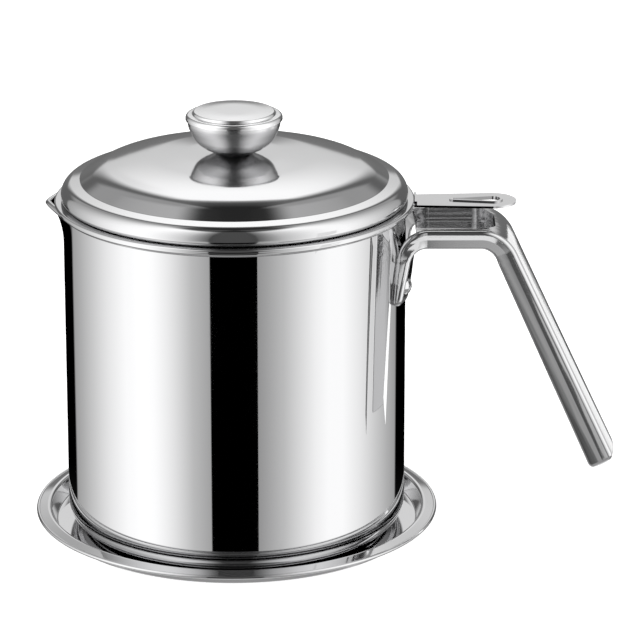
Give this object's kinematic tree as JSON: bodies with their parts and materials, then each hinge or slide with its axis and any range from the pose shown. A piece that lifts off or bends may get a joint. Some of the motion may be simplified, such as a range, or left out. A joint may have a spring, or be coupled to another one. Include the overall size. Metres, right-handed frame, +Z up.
{
  "type": "bacon grease container",
  "caption": "Polished steel bacon grease pot with pouring lip and riveted forked handle, standing on a saucer tray, with a lift-out mesh strainer and a domed lid with a knob.",
  "frame": {"origin": "centre of the tray's underside, on the pot's axis, where the object stands on the table", "axes": "+Z up, +X towards the handle, -X towards the pouring lip, +Y to the far side in the reference view"},
  "size_m": [0.2062, 0.1432, 0.1513],
  "materials": {
    "polished_steel": "mirror-polished stainless steel",
    "satin_steel": "satin stainless steel, inner pieces",
    "woven_mesh": "fine woven stainless wire"
  },
  "bodies": {
    "tray": {"tray": "polished_steel"},
    "pot": {"pot_body": "polished_steel", "handle": "polished_steel", "rivet_rear": "polished_steel", "rivet_front": "polished_steel"},
    "strainer": {"strainer_ring": "polished_steel", "strainer_tab": "polished_steel", "mesh_cup": "woven_mesh", "mesh_clamp_ring": "satin_steel"},
    "lid": {"lid_shell": "polished_steel", "lid_locating_ring": "satin_steel", "knob_bowl": "polished_steel", "knob_cap": "polished_steel", "knob_insert": "satin_steel", "knob_washer": "satin_steel", "knob_screw": "satin_steel"}
  },
  "joints": [
    {"name": "pot_lift", "type": "slide", "parent": "tray", "child": "pot", "axis": [0, 0, 1], "range_m": [0, 0.04]},
    {"name": "strainer_lift", "type": "slide", "parent": "pot", "child": "strainer", "axis": [0, 0, 1], "range_m": [0, 0.06]},
    {"name": "lid_lift", "type": "slide", "parent": "strainer", "child": "lid", "axis": [0, 0, 1], "range_m": [0, 0.06]}
  ]
}
